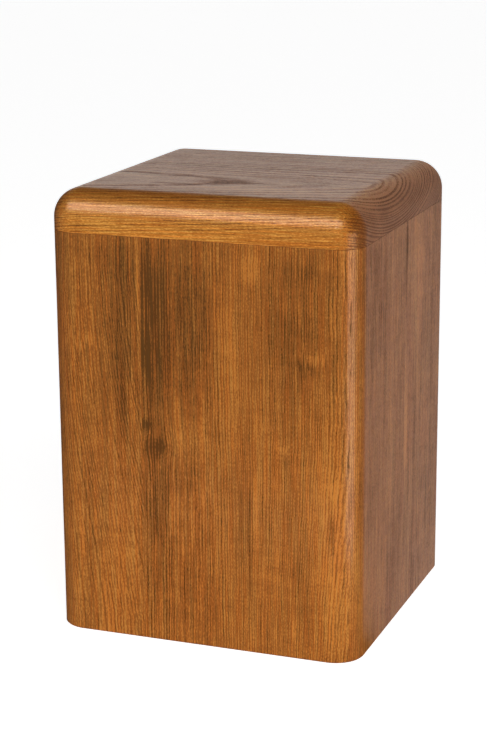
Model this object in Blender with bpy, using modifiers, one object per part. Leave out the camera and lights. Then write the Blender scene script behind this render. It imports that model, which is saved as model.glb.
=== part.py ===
"""A cremation urn box of solid timber, put together as a joiner does it.

Four walls, each glued up from upright staves, meet in mitres. One thick board closes the
top, and a panel closes the underside, screwed up into a rebate in the walls. The outer
edges are rounded with one radius. The box stands on z = 0, with its middle on the Z axis
and its front towards -Y. Lengths are in metres.
"""

import math

import bmesh
import bpy
from mathutils import Matrix, Vector

# Overall size.
WIDTH = 0.170
DEPTH = 0.170
HEIGHT = 0.240

# Boards.
TOP_THICKNESS = 0.0215
WALL_THICKNESS = 0.018
EDGE_RADIUS = 0.0155

# Glue lines between the staves of each wall, from its left end as seen from outside.
FRONT_GLUE_LINES = (0.0530, 0.0925)
RIGHT_GLUE_LINES = (0.0860,)
BACK_GLUE_LINES = (0.0600, 0.1020)
LEFT_GLUE_LINES = (0.0740,)

# Bottom panel, and the rebate that it lies in.
REBATE_LIP = 0.006
REBATE_CORNER = 0.010
PANEL_THICKNESS = 0.010
PANEL_RECESS = 0.002
PANEL_CHAMFER = 0.0008

# Countersunk screws that hold the bottom panel.
SCREW_INSET = 0.035
SCREW_FROM_EDGE = 0.005
SCREW_LENGTH = 0.025
SCREW_RADIUS = 0.0015
SCREW_TIP = 0.004
HEAD_RADIUS = 0.003
HEAD_RIM = 0.0003
HEAD_SINK = 0.0004
DRIVE_REACH = 0.0019
DRIVE_WIDTH = 0.0008
DRIVE_DEPTH = 0.0012

# Fits.
JOINT_GAP = 0.0003
PANEL_CLEARANCE = 0.0005
HOLE_CLEARANCE = 0.0003
CUT_MARGIN = 0.002

# Smoothness.
EDGE_SEGMENTS = 16
SCREW_SIDES = 24
SMOOTH_ANGLE = math.radians(35)
MERGE_DISTANCE = 0.00001

# Worked out from the sizes above.
WALL_HEIGHT = HEIGHT - TOP_THICKNESS - JOINT_GAP
SHOULDER = PANEL_RECESS + PANEL_THICKNESS + JOINT_GAP
REBATE_WIDTH = WIDTH - 2 * REBATE_LIP
REBATE_DEPTH = DEPTH - 2 * REBATE_LIP
SCREW_X = WIDTH / 2 - SCREW_INSET
SCREW_Y = REBATE_DEPTH / 2 - SCREW_FROM_EDGE
SCREW_Z = PANEL_RECESS + HEAD_SINK

# Colour, roughness and metallic value of each finish.
FINISHES = {
    "top_wood": ((0.36, 0.17, 0.05, 1.0), 0.35, 0.0),
    "wall_wood": ((0.33, 0.13, 0.03, 1.0), 0.35, 0.0),
    "bottom_wood": ((0.42, 0.24, 0.10, 1.0), 0.60, 0.0),
    "screw_brass": ((0.70, 0.50, 0.20, 1.0), 0.30, 1.0),
}

BOX = "cremation_urn_box"
CUTTERS = "cutters"


def clear_scene():
    for obj in list(bpy.data.objects):
        bpy.data.objects.remove(obj)


def make_collection(name):
    collection = bpy.data.collections.get(name) or bpy.data.collections.new(name)
    if name not in bpy.context.scene.collection.children:
        bpy.context.scene.collection.children.link(collection)


def finish_material(name):
    material = bpy.data.materials.get(name)
    if material is None:
        colour, roughness, metallic = FINISHES[name]
        material = bpy.data.materials.new(name)
        material.use_nodes = True
        shader = material.node_tree.nodes["Principled BSDF"]
        shader.inputs["Base Color"].default_value = colour
        shader.inputs["Roughness"].default_value = roughness
        shader.inputs["Metallic"].default_value = metallic
        material.diffuse_color = colour
    return material


def finish(obj, name):
    """Gives a piece its material, and smooth shading over its gentle bends."""
    obj.data.materials.append(finish_material(name))
    obj.data.shade_smooth()
    obj.data.set_sharp_from_angle(angle=SMOOTH_ANGLE)


def add_object(name, mesh, collection):
    obj = bpy.data.objects.new(name, mesh)
    bpy.data.collections[collection].objects.link(obj)
    if collection == CUTTERS:
        obj.hide_render = True
        obj.display_type = "WIRE"
    return obj


def box(name, size, centre, collection):
    """A box of that size round its centre."""
    mesh = bpy.data.meshes.new(name)
    shape = bmesh.new()
    bmesh.ops.create_cube(shape, size=1.0, matrix=Matrix.Diagonal((*size, 1.0)))
    shape.to_mesh(mesh)
    shape.free()
    obj = add_object(name, mesh, collection)
    obj.location = centre
    return obj


def slab(name, outline, base, thickness, collection):
    """A board of that thickness with its outline's plane at the height of base."""
    curve = bpy.data.curves.new(name, "CURVE")
    curve.dimensions = "2D"
    curve.fill_mode = "BOTH"
    curve.extrude = thickness / 2
    spline = curve.splines.new("POLY")
    spline.points.add(len(outline) - 1)
    for point, (x, y) in zip(spline.points, outline):
        point.co = (x, y, 0.0, 1.0)
    spline.use_cyclic_u = True
    drawn = add_object(name + "_outline", curve, collection)
    drawn.location.z = base + thickness / 2
    bpy.context.view_layer.update()

    evaluated = drawn.evaluated_get(bpy.context.evaluated_depsgraph_get())
    mesh = bpy.data.meshes.new_from_object(evaluated)
    shape = bmesh.new()
    shape.from_mesh(mesh)
    bmesh.ops.remove_doubles(shape, verts=shape.verts, dist=MERGE_DISTANCE)
    bmesh.ops.recalc_face_normals(shape, faces=shape.faces)
    shape.to_mesh(mesh)
    shape.free()
    obj = add_object(name, mesh, collection)
    obj.matrix_world = drawn.matrix_world.copy()
    bpy.data.objects.remove(drawn)
    return obj


def turned(name, profile, foot, collection):
    """A round piece standing on foot, from (radius, height) points down its outside."""
    mesh = bpy.data.meshes.new(name)
    edges = [(i, i + 1) for i in range(len(profile) - 1)]
    mesh.from_pydata([(radius, 0.0, height) for radius, height in profile], edges, [])
    obj = add_object(name, mesh, collection)
    obj.location = foot
    turn = obj.modifiers.new("Turn", "SCREW")
    turn.axis = "Z"
    turn.steps = SCREW_SIDES
    turn.render_steps = SCREW_SIDES
    turn.use_merge_vertices = True
    turn.merge_threshold = MERGE_DISTANCE
    return obj


def cut(obj, cutter):
    boolean = obj.modifiers.new("Cut_" + cutter.name, "BOOLEAN")
    boolean.operation = "DIFFERENCE"
    boolean.solver = "EXACT"
    boolean.object = cutter


def round_edges(obj, picked, radius):
    """Rounds the edges for which picked(middle, direction) is true."""
    mesh = obj.data
    weights = mesh.attributes.new("bevel_weight_edge", "FLOAT", "EDGE")
    for edge in mesh.edges:
        start, end = (mesh.vertices[i].co for i in edge.vertices)
        if picked((start + end) / 2, (end - start).normalized()):
            weights.data[edge.index].value = 1.0
    rounding = obj.modifiers.new("Rounding", "BEVEL")
    rounding.limit_method = "WEIGHT"
    rounding.width = radius
    rounding.segments = EDGE_SEGMENTS


def is_upright(middle, direction):
    return abs(direction.z) > 0.5


def is_outer_on_top(middle, direction):
    return is_upright(middle, direction) or middle.z > 0


def stave_outline(wall_length, start, end):
    """Plan of one stave: x along the wall from its left end, y inwards from its outer face.

    A stave at the wall's end stops at the mitre, which is the 45 degree line through the
    corner, and it has the part of the corner's rounding on its own side of that line.
    """
    mitre_shift = JOINT_GAP / math.sqrt(2)
    mitre_turn = math.asin(JOINT_GAP / (2 * EDGE_RADIUS))
    first = math.radians(225) + mitre_turn
    last = math.radians(270)
    steps = EDGE_SEGMENTS // 2
    mitred = [(WALL_THICKNESS + mitre_shift, WALL_THICKNESS)]
    for i in range(steps + 1):
        angle = first + (last - first) * i / steps
        mitred.append((EDGE_RADIUS * (1 + math.cos(angle)), EDGE_RADIUS * (1 + math.sin(angle))))

    square = [(JOINT_GAP / 2, WALL_THICKNESS), (JOINT_GAP / 2, 0.0)]
    at_left = mitred if start == 0.0 else [(start + x, y) for x, y in square]
    if end == wall_length:
        at_right = [(wall_length - x, y) for x, y in reversed(mitred)]
    else:
        at_right = [(end - x, y) for x, y in reversed(square)]
    return at_left + at_right


def make_wall(side, length, outer_face, turn, glue_lines, rebate, pilots):
    """A wall of staves, drawn with its outside towards -Y and then turned about Z."""
    to_place = Matrix.Rotation(turn, 4, "Z") @ Matrix.Translation((-length / 2, -outer_face, 0))
    ends = [0.0, *glue_lines, length]
    for number, (start, end) in enumerate(zip(ends, ends[1:]), 1):
        outline = stave_outline(length, start, end)
        stave = slab(f"{side}_stave_{number}", outline, 0.0, WALL_HEIGHT, BOX)
        stave.matrix_world = to_place @ stave.matrix_world
        cut(stave, rebate)
        for pilot in pilots:
            place = to_place.inverted() @ pilot.location
            reach = SCREW_RADIUS + HOLE_CLEARANCE
            if start - reach < place.x < end + reach and 0 < place.y < WALL_THICKNESS:
                cut(stave, pilot)
        finish(stave, "wall_wood")


def make_rebate():
    """The cutter for the rebate round the inside of the walls' lower edge."""
    size = (REBATE_WIDTH, REBATE_DEPTH, SHOULDER + CUT_MARGIN)
    rebate = box("rebate", size, (0.0, 0.0, (SHOULDER - CUT_MARGIN) / 2), CUTTERS)
    round_edges(rebate, is_upright, REBATE_CORNER)
    return rebate


def make_top_board():
    size = (WIDTH, DEPTH, TOP_THICKNESS)
    board = box("top_board", size, (0.0, 0.0, HEIGHT - TOP_THICKNESS / 2), BOX)
    round_edges(board, is_outer_on_top, EDGE_RADIUS)
    finish(board, "top_wood")


def make_bottom_panel(holes):
    size = (
        REBATE_WIDTH - 2 * PANEL_CLEARANCE,
        REBATE_DEPTH - 2 * PANEL_CLEARANCE,
        PANEL_THICKNESS,
    )
    centre = (0.0, 0.0, PANEL_RECESS + PANEL_THICKNESS / 2)
    panel = box("bottom_panel", size, centre, BOX)
    round_edges(panel, is_upright, REBATE_CORNER - PANEL_CLEARANCE)
    arris = panel.modifiers.new("Arris", "BEVEL")
    arris.limit_method = "ANGLE"
    arris.angle_limit = SMOOTH_ANGLE
    arris.width = PANEL_CHAMFER
    arris.segments = 1
    for hole in holes:
        cut(panel, hole)
    finish(panel, "bottom_wood")


def screw_feet():
    """Where the screws' axes meet the underside of their heads."""
    return [Vector((x, y, SCREW_Z)) for y in (-SCREW_Y, SCREW_Y) for x in (-SCREW_X, SCREW_X)]


def screw_holes():
    """Cutters for the countersunk holes in the panel, which run on as pilot holes above it."""
    radius = SCREW_RADIUS + HOLE_CLEARANCE
    head = HEAD_RADIUS + HOLE_CLEARANCE
    end = SCREW_LENGTH + CUT_MARGIN
    profile = [
        (0.0, end),
        (radius, end),
        (radius, HEAD_RIM + head - radius),
        (head, HEAD_RIM),
        (head, -CUT_MARGIN),
        (0.0, -CUT_MARGIN),
    ]
    feet = screw_feet()
    return [turned(f"screw_hole_{i}", profile, foot, CUTTERS) for i, foot in enumerate(feet, 1)]


def drive_outline():
    """A cross: the recess for the driver in a screw's head."""
    reach, half = DRIVE_REACH, DRIVE_WIDTH / 2
    arm = [Vector((reach, -half)), Vector((reach, half)), Vector((half, half))]
    turns = [Matrix.Rotation(quarter * math.pi / 2, 2) for quarter in range(4)]
    return [tuple(turn @ point) for turn in turns for point in arm]


def make_screws():
    profile = [
        (0.0, SCREW_LENGTH),
        (SCREW_RADIUS, SCREW_LENGTH - SCREW_TIP),
        (SCREW_RADIUS, HEAD_RIM + HEAD_RADIUS - SCREW_RADIUS),
        (HEAD_RADIUS, HEAD_RIM),
        (HEAD_RADIUS, 0.0),
        (0.0, 0.0),
    ]
    for number, foot in enumerate(screw_feet(), 1):
        screw = turned(f"panel_screw_{number}", profile, foot, BOX)
        depth = DRIVE_DEPTH + CUT_MARGIN
        drive = slab(f"drive_{number}", drive_outline(), foot.z - CUT_MARGIN, depth, CUTTERS)
        drive.location.xy = foot.xy
        cut(screw, drive)
        finish(screw, "screw_brass")


def main():
    clear_scene()
    make_collection(BOX)
    make_collection(CUTTERS)
    rebate = make_rebate()
    holes = screw_holes()
    quarter = math.pi / 2
    make_wall("front", WIDTH, DEPTH / 2, 0.0, FRONT_GLUE_LINES, rebate, holes)
    make_wall("right", DEPTH, WIDTH / 2, quarter, RIGHT_GLUE_LINES, rebate, holes)
    make_wall("back", WIDTH, DEPTH / 2, 2 * quarter, BACK_GLUE_LINES, rebate, holes)
    make_wall("left", DEPTH, WIDTH / 2, 3 * quarter, LEFT_GLUE_LINES, rebate, holes)
    make_top_board()
    make_bottom_panel(holes)
    make_screws()


main()
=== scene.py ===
"""Dresses the cremation urn box: its staves and top board in lacquered timber, and the stage.

The box stands on z = 0 with its middle on the Z axis and its front towards -Y. Lengths are in
metres. Every board has its own places (s, n, g): s runs across the grain over the board's
face, n goes through its thickness, and g runs along the grain.
"""

import math
from typing import NamedTuple

import bmesh
import bpy
import numpy as np
from bpy.props import FloatProperty, FloatVectorProperty, PointerProperty
from bpy.types import Operator, Panel, PropertyGroup
from mathutils import Matrix, Vector


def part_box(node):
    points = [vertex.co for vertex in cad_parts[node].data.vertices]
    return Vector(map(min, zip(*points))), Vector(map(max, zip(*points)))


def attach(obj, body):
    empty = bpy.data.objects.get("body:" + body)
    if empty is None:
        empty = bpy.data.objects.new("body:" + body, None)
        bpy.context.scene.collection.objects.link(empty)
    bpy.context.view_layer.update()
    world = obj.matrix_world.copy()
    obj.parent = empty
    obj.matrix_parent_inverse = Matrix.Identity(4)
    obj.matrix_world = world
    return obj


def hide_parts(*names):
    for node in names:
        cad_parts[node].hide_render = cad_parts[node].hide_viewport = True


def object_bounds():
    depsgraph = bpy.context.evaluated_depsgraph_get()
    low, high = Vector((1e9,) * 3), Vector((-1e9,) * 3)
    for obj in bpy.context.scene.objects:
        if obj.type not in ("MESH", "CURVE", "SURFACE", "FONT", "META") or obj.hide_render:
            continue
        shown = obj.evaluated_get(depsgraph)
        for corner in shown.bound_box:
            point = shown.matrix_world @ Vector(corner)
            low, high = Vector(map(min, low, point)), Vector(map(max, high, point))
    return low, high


bl_info = {
    "name": "Timber Urn Box",
    "version": (1, 0, 0),
    "blender": (4, 5, 0),
    "location": "3D View > Sidebar > Urn Box",
    "description": "Makes a lacquered timber urn box of glued staves, and a stage to show it on",
    "category": "Object",
}

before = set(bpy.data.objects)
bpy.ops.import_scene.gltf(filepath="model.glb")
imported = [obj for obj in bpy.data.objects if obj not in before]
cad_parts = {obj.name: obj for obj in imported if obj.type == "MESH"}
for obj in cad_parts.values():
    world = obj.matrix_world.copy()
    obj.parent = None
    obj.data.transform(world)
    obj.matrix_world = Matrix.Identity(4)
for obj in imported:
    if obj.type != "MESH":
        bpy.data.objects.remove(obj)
CAD_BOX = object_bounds()
BODY = "root"

# Sizes that the frame gives.
WIDTH, DEPTH, HEIGHT = CAD_BOX[1] - CAD_BOX[0]
BOARD_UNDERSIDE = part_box("top_board")[0].z
WALL_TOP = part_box("front_stave_1")[1].z
SEAM_HEIGHT = (BOARD_UNDERSIDE + WALL_TOP) / 2

# Sizes of the staves that the frame's boxes don't give.
EDGE_RADIUS = 0.0155
WALL_THICKNESS = 0.018
REBATE_LIP = 0.006
REBATE_CORNER = 0.010
SHOULDER = 0.0123

# The bearing, round a corner's middle, of the mitre at a wall's left end.
MITRE_BEARING = math.radians(225)

# How many screws hold the bottom panel.
SCREWS = 4

# Worn edges: how far each is taken off.
SEAM_ARRIS = 0.00022
FOOT_ARRIS = 0.0005

# Spacing of the mesh's points across the grain, along it, up the top board's sides and round
# its ends.
ACROSS_STEP = 0.0003
ALONG_STEP = 0.0025
SIDE_STEP = 0.0009
END_STEPS = 26

# Within what length of a board's long edges and of its ends the relief dies out, and over
# which part of the top board's end bends, as the cosine of the bend's angle.
EDGE_FADE = 0.0012
END_FADE = 0.0024
BEND_FADES = (0.6, 1.0)

# Each wall's quarter turns from the front, and the glue lines from its left end.
WALLS = {
    "front": (0, (0.0530, 0.0925)),
    "right": (1, (0.0860,)),
    "back": (2, (0.0600, 0.1020)),
    "left": (3, (0.0740,)),
}


# Timber figure.


class Figure(NamedTuple):
    """How a board lay in its tree, and what shows on its face."""

    pith: tuple  # the tree's centre line, as (s, n)
    ring_width: float = 0.0012
    lean: tuple = (0.0, 0.0)  # how far the centre line moves in s and n for each metre of g
    taper: float = 0.0  # how fast the rings close up below taper_from, for each metre
    taper_from: float = 0.2
    taper_line: float = 0.0  # the s where the rings stay upright
    sway: float = 0.0004  # the height of the lines' slow wave along the grain
    sway_length: float = 0.17
    sway_start: float = 0.0  # where in its turn the wave is at the foot, in radians
    knots: tuple = ()  # each (s, g, reach in s, reach in g, push)
    patches: tuple = ()  # each (s, g, reach in s, reach in g, strength), above 0 for darker
    grain_seed: float = 0.0  # sets the board's fine texture apart from the others'


FIGURES = {
    "front_1": Figure(
        pith=(-0.110, 0.100),
        taper=1.5,
        sway=0.0076,
        sway_length=0.4,
        sway_start=-1.571,
        patches=(
            # painted shade on the upper half of the left rounded edge, where it turns from the
            # light, with redder timber there as well
            (0.002, 0.205, 0.0060, 0.080, 0.22),
            (0.044, 0.172, 0.0090, 0.055, 0.24),
            (0.021, 0.158, 0.0090, 0.0022, 0.18),
            (0.019, 0.163, 0.0090, 0.0030, -0.20),
            (0.042, 0.133, 0.0020, 0.010, 0.16),
            (0.0518, 0.190, 0.0010, 0.040, -0.40),
            (0.020, 0.050, 0.040, 0.060, -0.06),
        ),
        grain_seed=1.0,
    ),
    "front_2": Figure(
        pith=(0.200, 0.120),
        sway_start=2.0,
        knots=((0.0601, 0.1076, 0.0100, 0.0075, 0.30), (0.0555, 0.1190, 0.0045, 0.0050, 0.10)),
        patches=(
            (0.0570, 0.172, 0.0070, 0.048, 0.42),
            (0.0740, 0.172, 0.0220, 0.044, 0.30),
            (0.0600, 0.085, 0.0080, 0.022, 0.24),
            (0.0760, 0.094, 0.0110, 0.012, 0.18),
            (0.0790, 0.118, 0.0110, 0.008, -0.08),
            (0.0700, 0.040, 0.0250, 0.035, 0.12),
        ),
        grain_seed=2.0,
    ),
    "front_3": Figure(
        pith=(-0.060, 0.130),
        taper=-1.2,
        taper_from=0.130,
        taper_line=0.112,
        sway_start=1.1,
        patches=(
            (0.1137, 0.208, 0.0050, 0.010, -0.22),
            (0.1015, 0.150, 0.0080, 0.050, -0.14),
            (0.1370, 0.180, 0.0150, 0.035, 0.22),
            (0.1430, 0.204, 0.0110, 0.006, 0.15),
            (0.1374, 0.177, 0.0050, 0.005, 0.16),
            (0.1450, 0.163, 0.0110, 0.0028, -0.22),
            (0.1450, 0.157, 0.0110, 0.0022, 0.20),
            (0.1300, 0.1135, 0.0050, 0.0012, -0.25),
            (0.1125, 0.070, 0.0014, 0.045, 0.20),
            (0.1160, 0.078, 0.0016, 0.022, -0.20),
            (0.1560, 0.070, 0.0100, 0.060, -0.18),
            (0.1590, 0.190, 0.0060, 0.035, 0.10),
            (0.1570, 0.072, 0.0020, 0.012, 0.28),
        ),
        grain_seed=3.0,
    ),
    "right_1": Figure(
        pith=(-0.090, 0.110),
        sway_start=0.7,
        patches=(
            (0.030, 0.190, 0.020, 0.040, 0.18),
            (0.012, 0.030, 0.030, 0.030, -0.10),
            (0.060, 0.120, 0.006, 0.080, -0.12),
        ),
        grain_seed=4.0,
    ),
    "right_2": Figure(
        pith=(0.260, 0.130),
        sway_start=2.6,
        patches=(
            (0.0885, 0.110, 0.0030, 0.045, -0.30),
            (0.0875, 0.198, 0.0022, 0.022, 0.35),
            (0.1120, 0.185, 0.0120, 0.035, -0.18),
        ),
        grain_seed=5.0,
    ),
    "back_1": Figure(
        pith=(-0.090, 0.120),
        taper=1.5,
        sway_start=3.1,
        patches=((0.045, 0.150, 0.015, 0.070, 0.25), (0.015, 0.060, 0.012, 0.060, -0.15)),
        grain_seed=6.0,
    ),
    "back_2": Figure(
        pith=(0.210, 0.110),
        lean=(0.0, 0.010),
        sway_start=0.2,
        patches=((0.082, 0.120, 0.018, 0.060, 0.20),),
        grain_seed=7.0,
    ),
    "back_3": Figure(
        pith=(0.125, 0.150),
        ring_width=0.0020,
        lean=(0.01, 0.015),
        sway_start=1.7,
        patches=((0.140, 0.060, 0.020, 0.050, -0.2), (0.120, 0.190, 0.015, 0.025, 0.15)),
        grain_seed=8.0,
    ),
    "left_1": Figure(
        pith=(-0.120, 0.090),
        sway_start=2.2,
        patches=((0.030, 0.090, 0.020, 0.070, 0.2), (0.060, 0.180, 0.010, 0.040, -0.15)),
        grain_seed=9.0,
    ),
    "left_2": Figure(
        pith=(0.110, 0.160),
        ring_width=0.0021,
        lean=(0.03, -0.012),
        sway_start=0.9,
        patches=((0.130, 0.140, 0.025, 0.060, -0.12),),
        grain_seed=10.0,
    ),
    "top": Figure(
        pith=(-0.0317, 0.3866),
        ring_width=0.0016,
        lean=(0.15, 0.030),
        sway=0.0008,
        sway_start=0.5,
        patches=(
            (-0.0770, 0.000, 0.0045, 0.400, 0.08),
            (-0.0315, -0.007, 0.0052, 0.016, 0.24),
            (-0.0320, 0.013, 0.0022, 0.012, 0.22),
            (-0.0235, -0.043, 0.0028, 0.014, 0.30),
            (-0.0180, -0.060, 0.0020, 0.014, 0.24),
            (-0.0450, -0.029, 0.0032, 0.012, 0.26),
            (-0.0550, -0.045, 0.0026, 0.012, 0.20),
            (-0.0035, -0.040, 0.0012, 0.030, 0.20),
            (-0.0100, 0.030, 0.0012, 0.035, 0.22),
            (-0.0500, 0.025, 0.0110, 0.060, -0.18),
            (-0.0350, -0.062, 0.0100, 0.018, -0.16),
        ),
        grain_seed=11.0,
    ),
}

# The slow change of ring width with distance from the tree's centre: (rings, distance).
RING_WAVES = ((0.35, 0.0165), (0.22, 0.0071))

# The fine waver of each line along the grain: (height, length, turn for each metre of s).
WAVERS = ((0.00016, 0.031, 90.0), (0.00009, 0.0113, 210.0))


def ring_count(figure, s, n, g):
    """Growth rings between the tree's centre line and the places (s, n, g).

    Knots push s outwards from their middle. Below taper_from, s is stretched about
    taper_line as the trunk widens. Then the distance from the leaning centre line, over the
    width of a ring, is the count, and slow waves of that distance make some rings wider.
    """
    for knot_s, knot_g, reach_s, reach_g, push in figure.knots:
        away = ((s - knot_s) / reach_s) ** 2 + ((g - knot_g) / reach_g) ** 2
        s = knot_s + (s - knot_s) * (1 - push * np.exp(-away))
    drop = np.minimum(g - figure.taper_from, 0.0)
    s = figure.taper_line + (s - figure.taper_line) * (1 + figure.taper * drop)
    turn = 2 * math.pi * g / figure.sway_length + figure.sway_start
    s = s + figure.sway * np.sin(turn)
    for height, length, skew in WAVERS:
        s = s + height * np.sin(2 * math.pi * g / length + skew * s)
    pith_s, pith_n = (p + lean * g for p, lean in zip(figure.pith, figure.lean))
    distance = np.hypot(s - pith_s, n - pith_n)
    rings = distance / figure.ring_width
    for amount, length in RING_WAVES:
        rings = rings + amount * np.sin(2 * math.pi * distance / length)
    return rings


def smooth_step(low, high, value):
    """0 up to low, 1 from high, and 3q^2 - 2q^3 of the share q of the way between them."""
    share = np.clip((value - low) / (high - low), 0.0, 1.0)
    return share * share * (3 - 2 * share)


# Where the open-pored early wood starts and ends in each ring, as shares of the ring.
EARLY_RISE = (0.0, 0.10)
EARLY_FALL = (0.30, 0.62)


def early_wood(rings):
    """1 in the open-pored part of each ring and 0 in its dense part."""
    share = rings - np.floor(rings)
    return smooth_step(*EARLY_RISE, share) * (1 - smooth_step(*EARLY_FALL, share))


# Meshes.


# Points of a mesh that lie closer than this become one, where a surface narrows to a point.
MERGE_DISTANCE = 0.000002

# Faces that meet at more than this angle in degrees meet in a sharp edge.
SHARP_ANGLE = 30


def new_object(name, data):
    """An object with that data, in the scene's own collection."""
    made = bpy.data.objects.new(name, data)
    bpy.context.scene.collection.objects.link(made)
    return made


def add_piece(name, points, faces, node):
    """Makes a mesh object of the points and faces, which stands for a node of the frame."""
    mesh = bpy.data.meshes.new(name)
    mesh.from_pydata(points, [], faces)
    shape = bmesh.new()
    shape.from_mesh(mesh)
    bmesh.ops.remove_doubles(shape, verts=shape.verts, dist=MERGE_DISTANCE)
    shape.to_mesh(mesh)
    shape.free()
    mesh.shade_smooth()
    mesh.set_sharp_from_angle(angle=math.radians(SHARP_ANGLE))
    piece = new_object(name, mesh)
    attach(piece, BODY)
    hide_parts(node)
    return piece


def grid_quads(rows, columns, closed=False):
    """Quads between neighbours in a grid of points, whose last column may meet its first."""
    last = columns if closed else columns - 1
    i, j = np.meshgrid(np.arange(rows - 1), np.arange(last), indexing="ij")
    here, across = i * columns + j, i * columns + (j + 1) % columns
    return np.stack([here, across, across + columns, here + columns], axis=-1).reshape(-1, 4)


def tube_faces(stations, around):
    """Quads between stations of a closed outline, and a flat cap at the first and the last."""
    first = np.arange(around)[::-1]
    last = np.arange(around) + (stations - 1) * around
    return [*grid_quads(stations, around, closed=True).tolist(), first.tolist(), last.tolist()]


def evenly(start, end, step):
    """Evenly spaced values from start to end, about step apart."""
    return np.linspace(start, end, max(2, round(abs(end - start) / step) + 1))


def fade(value, start, end, length):
    """0 at start and end, rising to 1 within length of them."""
    return smooth_step(0, length, value - start) * smooth_step(0, length, end - value)


def corner_path(inset, radius, end, share):
    """The left part of a wall's plan at a distance inset from its outer face.

    An arc of that radius from the 45 degree mitre, and then a straight run to s = end. The
    places are at the given shares of its length. Also gives the unit normals outwards.
    """
    arc_length = radius * math.pi / 4
    straight = end - inset - radius
    along = share * (arc_length + straight)
    angle = MITRE_BEARING + np.minimum(along / radius, math.pi / 4)
    run = np.maximum(along - arc_length, 0.0)
    middle = inset + radius
    normal = np.stack([np.cos(angle), np.sin(angle)], axis=-1)
    return middle + radius * normal + np.stack([run, np.zeros_like(run)], axis=-1), normal


def stave_plan(length, start, end):
    """Plans (s, n) of a stave's outer face, rebate and inner face, and the outer normals.

    A stave at the wall's left end begins at the mitre, one at its right end is the mirror
    of that, and a stave between two others is straight.
    """
    if end == length:
        outer, lip, inner, normal = stave_plan(length, 0.0, length - start)
        mirror = np.array([-1.0, 1.0])
        shift = np.array([length, 0.0])
        return *(shift + mirror * plan[::-1] for plan in (outer, lip, inner)), mirror * normal[::-1]

    if start == 0.0:
        share = evenly(0.0, end + EDGE_RADIUS * (math.pi / 4 - 1), ACROSS_STEP)
        share = share / share[-1]
        outer, normal = corner_path(0.0, EDGE_RADIUS, end, share)
        lip, _ = corner_path(REBATE_LIP, REBATE_CORNER, end, share)
        inner_s = WALL_THICKNESS + (end - WALL_THICKNESS) * share
        return outer, lip, np.stack([inner_s, np.full_like(inner_s, WALL_THICKNESS)], -1), normal

    s = evenly(start, end, ACROSS_STEP)
    plans = [np.stack([s, np.full_like(s, n)], -1) for n in (0.0, REBATE_LIP, WALL_THICKNESS)]
    return *plans, np.tile([0.0, -1.0], (len(s), 1))


def wall_reach(side):
    """The wall's length, and how deep the box is behind it."""
    quarter_turns, _ = WALLS[side]
    return (DEPTH, WIDTH) if quarter_turns % 2 else (WIDTH, DEPTH)


def make_stave(side, number, settings):
    """One stave: its section's outline, carried along the wall from its right end to its left.

    The outline goes up the outer face, over the top, down the inner face to the rebate and
    round that to the foot. Each point of it is a mix of the three plans, at its height.
    On the outer face the early wood lies a little deeper than the late wood.
    """
    quarter_turns, glue_lines = WALLS[side]
    length, depth = wall_reach(side)
    ends = (0.0, *glue_lines, length)
    outer, lip, inner, normal = stave_plan(length, ends[number - 1], ends[number])

    rows = evenly(FOOT_ARRIS, SEAM_HEIGHT - SEAM_ARRIS, ALONG_STEP)
    foot, crown = FOOT_ARRIS / REBATE_LIP, SEAM_ARRIS / REBATE_LIP
    section = [(1 - foot, foot, 0, 0.0)]
    section += [(1, 0, 0, row) for row in rows]
    section += [
        (1 - crown, crown, 0, SEAM_HEIGHT),
        (0, 0, 1, SEAM_HEIGHT),
        (0, 0, 1, SHOULDER),
        (0, 1, 0, SHOULDER),
        (0, 1, 0, 0.0),
    ]
    section = np.array(section)
    plans = np.stack([outer, lip, inner], axis=1)
    flat = np.einsum("jk,ikc->ijc", section[:, :3], plans)
    height = np.broadcast_to(section[:, 3], flat.shape[:2])

    figure = FIGURES[f"{side}_{number}"]
    groove = settings.relief * early_wood(ring_count(figure, flat[..., 0], flat[..., 1], height))
    column = np.arange(len(outer)) * ACROSS_STEP
    groove *= fade(column, 0, column[-1], EDGE_FADE)[:, None]
    groove *= fade(height, 0, SEAM_HEIGHT, END_FADE) * (section[:, 0] == 1)
    flat = flat - groove[..., None] * normal[:, None, :]

    turn = np.array(Matrix.Rotation(quarter_turns * math.pi / 2, 2))
    placed = (flat - np.array([length / 2, depth / 2])) @ turn.T
    points = np.concatenate([placed, height[..., None]], axis=-1)[::-1]
    faces = tube_faces(*points.shape[:2])
    node = f"{side}_stave_{number}"
    name = f"stave_{side}_{number}"
    return add_piece(name, points.reshape(-1, 3), faces, node)


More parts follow.
